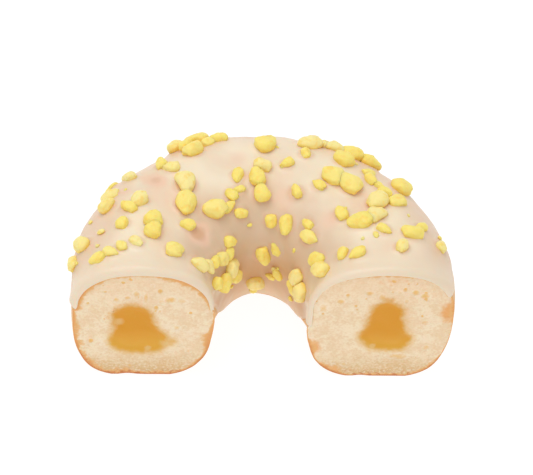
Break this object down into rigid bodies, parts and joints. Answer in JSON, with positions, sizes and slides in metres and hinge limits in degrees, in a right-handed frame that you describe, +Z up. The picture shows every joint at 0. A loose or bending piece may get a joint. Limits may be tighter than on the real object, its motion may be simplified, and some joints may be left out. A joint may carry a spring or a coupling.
{
  "type": "doughnut half",
  "caption": "Half of a filled ring doughnut, cut across, with pale icing and scattered yellow crunch pieces.",
  "frame": {"origin": "bottom centre of the bounding box, on the surface that the doughnut rests on", "axes": "+Z up, the shortest way through the ring; +X along the two cut faces, towards the limb on the right as they are looked at; the cut faces look along -Y"},
  "size_m": [0.0882, 0.0508, 0.0382],
  "materials": {
    "dough": "matt golden crust with a cream-coloured crumb at the cut",
    "icing": "satin cream icing with matt yellow crunch pieces",
    "filling": "smooth amber custard"
  },
  "bodies": {
    "root": {"dough": "dough", "icing": "icing", "filling": "filling"}
  },
  "joints": []
}
